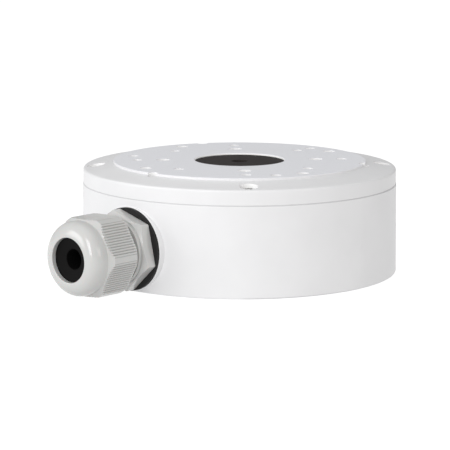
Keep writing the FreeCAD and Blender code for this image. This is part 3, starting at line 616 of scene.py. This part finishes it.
@dataclass
class CoverScrews:
    """The captive cover screws with their retaining rings.

    Sizes are in millimetres, the thread's ends along the screw from under its head. The first
    screw's angle is in degrees from X towards Y.
    """

    count: int = 4
    circle: float = 62.7
    first_angle: float = 45.0
    seat: float = 42.2
    low_end: float = -13.4
    high_end: float = -3.4

    def build(self, paints: Paintbox) -> None:
        """Dress the screws and rings and wind each screw's thread.

        Args:
            paints: Where the finishes are made.
        """
        for number in range(1, self.count + 1):
            paints.dress_node(f"cover_screw_{number}", BRIGHT_STEEL)
            paints.dress_node(f"screw_retainer_{number}", CLEAR_NYLON)
            turn = math.radians(self.first_angle + 360 / self.count * (number - 1))
            place = stand_at(self.circle * math.cos(turn), self.circle * math.sin(turn),
                             self.seat)
            thread = Thread(f"cover_screw_thread_{number}", SCREW_CORE, SCREW_CREST,
                            SCREW_PITCH, self.low_end, self.high_end, SCREW_TURN_STEPS)
            thread.build(place, Body.HOUSING, BRIGHT_STEEL, paints)


@dataclass
class CableGland:
    """The gland's body, washer and locknut.

    Sizes are in millimetres, and starts and ends are counted along its axis from the box's.
    """

    outer_core: float = 12.1
    outer_crest: float = 12.9
    outer_start: float = 77.9
    outer_end: float = 91.3
    entry_core: float = 11.7
    entry_crest: float = 12.5
    entry_start: float = 55.6
    entry_end: float = 70.0
    pitch: float = 1.5
    turn_steps: int = 72

    def build(self, paints: Paintbox) -> None:
        """Dress the gland and wind the threads of its two spigots.

        Args:
            paints: Where the finishes are made.
        """
        paints.dress_node("gland_body", GREY_NYLON)
        paints.dress_node("gland_locknut", GREY_NYLON)
        paints.dress_node("gland_washer", BLACK_RUBBER)
        place = stand_at(0, 0, GLAND_HEIGHT) @ Matrix.Rotation(math.pi / 2, 4, "X")
        outer = Thread("gland_outer_thread", self.outer_core, self.outer_crest, self.pitch,
                       self.outer_start, self.outer_end, self.turn_steps)
        outer.build(place, Body.HOUSING, GREY_NYLON, paints)
        entry = Thread("gland_entry_thread", self.entry_core, self.entry_crest, self.pitch,
                       self.entry_start, self.entry_end, self.turn_steps)
        entry.build(place, Body.HOUSING, GREY_NYLON, paints)


@dataclass
class Clamp:
    """What closes on the cable: the rubber seal and the domed nut."""

    seal_rubber: Finish = SEAL_RUBBER
    nut_nylon: Finish = RIBBED_NYLON

    def build(self, paints: Paintbox) -> None:
        """Dress the seal and the nut.

        Args:
            paints: Where the finishes are made.
        """
        paints.dress_node("gland_seal", self.seal_rubber)
        paints.dress_node("gland_dome_nut", self.nut_nylon)


@dataclass(frozen=True)
class Softbox:
    """A rectangular soft light that faces the box.

    The azimuth is in degrees from X towards Y and the elevation in degrees over the floor.
    Width, height and distance are in metres and the power is in watts. The colour is linear.
    """

    name: str
    azimuth: float
    elevation: float
    width: float
    height: float
    watts: float
    colour: tuple[float, float, float] = (1.0, 1.0, 1.0)
    distance: float = 1.3

    def hang(self) -> None:
        """Make the lamp and turn it towards the box."""
        lamp = bpy.data.lights.new(self.name, "AREA")
        lamp.shape = "RECTANGLE"
        lamp.size, lamp.size_y = self.width, self.height
        lamp.energy = self.watts
        lamp.color = self.colour
        holder = bpy.data.objects.new(self.name, lamp)
        bpy.context.scene.collection.objects.link(holder)
        turn, lift = math.radians(self.azimuth), math.radians(self.elevation)
        outward = Vector((math.cos(turn) * math.cos(lift), math.sin(turn) * math.cos(lift),
                          math.sin(lift)))
        holder.location = outward * self.distance
        holder.rotation_euler = (-outward).to_track_quat("-Z", "Y").to_euler()


SOFTBOXES = (
    Softbox("key_softbox", azimuth=-118, elevation=18, width=0.7, height=0.7, watts=4.6),
    Softbox("strip_softbox", azimuth=-74, elevation=24, width=0.34, height=0.9, watts=4.4),
    Softbox("top_softbox", azimuth=-60, elevation=80, width=0.9, height=0.9, watts=0.6,
            colour=(0.93, 0.97, 1.0)),
    Softbox("warm_softbox", azimuth=-5, elevation=22, width=0.5, height=0.5, watts=1.3,
            colour=(1.0, 0.93, 0.86)),
)


@dataclass
class Studio:
    """Floor, soft light and a camera at the photograph's view.

    The camera's angles and distance come from fitting the box's ellipses in the photograph.
    Angles are in degrees and lengths in metres, apart from the lens and the sensor.
    """

    camera_distance: float = 961.7 * MM
    camera_azimuth: float = 41.6
    camera_elevation: float = 11.08
    camera_pitch: float = 9.965
    camera_yaw: float = 0.385
    camera_roll: float = 0.13
    lens_mm: float = 174.2
    sensor_mm: float = 36.0
    clip_near: float = 0.05
    clip_far: float = 50.0
    floor_side: float = 12.0
    floor_gap: float = 0.02 * MM
    floor_colour: float = 0.1
    floor_roughness: float = 0.9
    floor_glow: float = 0.97
    front_azimuth: float = -55.0
    front_glow: float = 0.79
    rear_glow: float = 0.45
    softboxes: tuple[Softbox, ...] = SOFTBOXES

    def place_camera(self) -> None:
        """Make the camera and look along the photograph's line of sight."""
        data = bpy.data.cameras.new("photo_camera")
        data.lens = self.lens_mm
        data.sensor_width = self.sensor_mm
        data.clip_start, data.clip_end = self.clip_near, self.clip_far
        camera = bpy.data.objects.new("photo_camera", data)
        bpy.context.scene.collection.objects.link(camera)
        elevation, pitch, yaw, roll, turn = (
            math.radians(angle) for angle in (self.camera_elevation, self.camera_pitch,
                                              self.camera_yaw, self.camera_roll,
                                              self.camera_azimuth))
        heading = Matrix.Rotation(turn, 3, "Z")
        place = heading @ Vector((0, -math.cos(elevation), math.sin(elevation)))
        sight = heading @ Vector((-math.sin(yaw) * math.cos(pitch),
                                  math.cos(yaw) * math.cos(pitch), -math.sin(pitch)))
        right = heading @ Vector((math.cos(yaw), math.sin(yaw), 0))
        up = right.cross(sight)
        across = math.cos(roll) * right + math.sin(roll) * up
        upright = math.cos(roll) * up - math.sin(roll) * right
        turned = Matrix((across, upright, -sight)).transposed().to_4x4()
        camera.matrix_world = Matrix.Translation(place * self.camera_distance) @ turned
        bpy.context.scene.camera = camera

    def lay_floor(self) -> None:
        """Lay a plain pale floor just under the wall face."""
        mesh = bpy.data.meshes.new("floor")
        sheet = bmesh.new()
        bmesh.ops.create_grid(sheet, x_segments=1, y_segments=1, size=self.floor_side / 2)
        bmesh.ops.translate(sheet, verts=sheet.verts, vec=(0, 0, -self.floor_gap))
        sheet.to_mesh(mesh)
        sheet.free()
        floor = bpy.data.objects.new("floor", mesh)
        bpy.context.scene.collection.objects.link(floor)
        pale = bpy.data.materials.new("pale_floor")
        pale.use_nodes = True
        shader = next(node for node in pale.node_tree.nodes if node.type == "BSDF_PRINCIPLED")
        shader.inputs["Base Color"].default_value = (*[self.floor_colour] * 3, 1)
        shader.inputs["Roughness"].default_value = self.floor_roughness
        shader.inputs["Emission Color"].default_value = (1, 1, 1, 1)
        shader.inputs["Emission Strength"].default_value = self.floor_glow
        mesh.materials.append(pale)
        floor.visible_diffuse = False

    def light_up(self) -> None:
        """Set the even room light and the softboxes."""
        world = bpy.data.worlds.new("studio")
        world.use_nodes = True
        tree = world.node_tree
        sky = next(node for node in tree.nodes if node.type == "BACKGROUND")
        sky.inputs["Color"].default_value = (1, 1, 1, 1)
        where = tree.nodes.new("ShaderNodeTexCoord")
        facing = tree.nodes.new("ShaderNodeVectorMath")
        facing.operation = "DOT_PRODUCT"
        turn = math.radians(self.front_azimuth)
        facing.inputs[1].default_value = (math.cos(turn), math.sin(turn), 0)
        spread = tree.nodes.new("ShaderNodeMapRange")
        spread.inputs["From Min"].default_value = -1.0
        spread.inputs["To Min"].default_value = self.rear_glow
        spread.inputs["To Max"].default_value = self.front_glow
        tree.links.new(where.outputs["Generated"], facing.inputs[0])
        tree.links.new(facing.outputs["Value"], spread.inputs["Value"])
        tree.links.new(spread.outputs["Result"], sky.inputs["Strength"])
        bpy.context.scene.world = world
        for softbox in self.softboxes:
            softbox.hang()
        bpy.context.scene.view_settings.view_transform = "Standard"
        bpy.context.scene.view_settings.look = "None"

    def build(self) -> None:
        """Set up camera, floor and light."""
        self.place_camera()
        self.lay_floor()
        self.light_up()
        log.info("studio ready")


def main() -> None:
    """Build the studio and dress the box."""
    logging.basicConfig(level=logging.INFO, format="%(name)s: %(message)s")
    Studio().build()
    paints = Paintbox()
    assemblies = (Housing(), EarthTerminal(), Cover(), CoverScrews(), CableGland(), Clamp())
    for assembly in assemblies:
        assembly.build(paints)
        log.info("%s ready", type(assembly).__name__)


if __name__ == "__main__":
    main()
